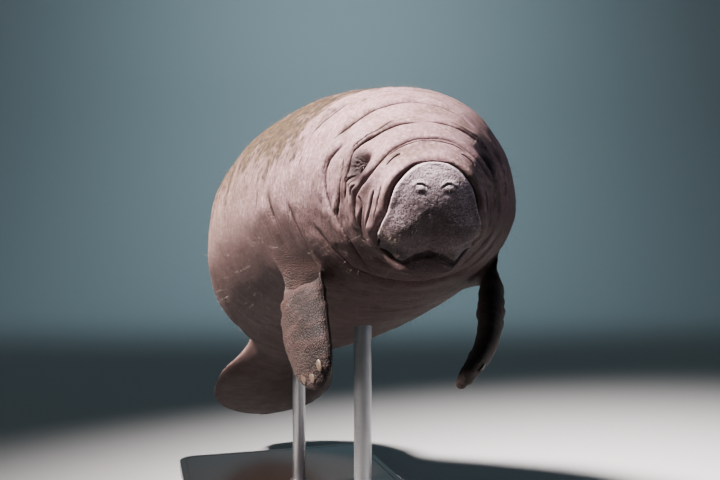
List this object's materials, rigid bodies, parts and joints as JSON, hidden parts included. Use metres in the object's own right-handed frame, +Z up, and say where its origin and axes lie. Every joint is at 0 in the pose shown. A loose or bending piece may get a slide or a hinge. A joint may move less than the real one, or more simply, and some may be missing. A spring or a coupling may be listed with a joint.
{
  "type": "manatee model on a display stand",
  "caption": "Life-size still model of a swimming manatee, head turned, flippers hanging and round tail paddle low, held up by a flat base with rods.",
  "frame": {"origin": "middle of the display base's flat underside", "axes": "+Z up, -Y towards the head, +Y towards the tail, +X to the animal's left"},
  "size_m": [0.9, 2.6382, 1.4796],
  "materials": {
    "skin": "thick wrinkled grey-brown skin, pinkish where lit, with an ochre film of algae on the back",
    "eye": "wet and glossy, dark brown",
    "nail": "worn horn",
    "stand_base": "satin dark lacquer",
    "stand_rod": "satin"
  },
  "bodies": {
    "root": {"muzzle": "skin", "head": "skin", "lower_jaw": "skin", "neck": "skin", "chest": "skin", "belly": "skin", "loins": "skin", "tail_stock": "skin", "tail_paddle": "skin", "flipper_left": "skin", "flipper_right": "skin", "eye_left": "eye", "eye_right": "eye", "nail_left_1": "nail", "nail_left_2": "nail", "nail_left_3": "nail", "nail_right_1": "nail", "nail_right_2": "nail", "nail_right_3": "nail", "stand_base": "stand_base", "stand_flange_front": "stand_rod", "stand_flange_rear": "stand_rod", "stand_rod_front": "stand_rod", "stand_rod_rear": "stand_rod"}
  },
  "joints": []
}
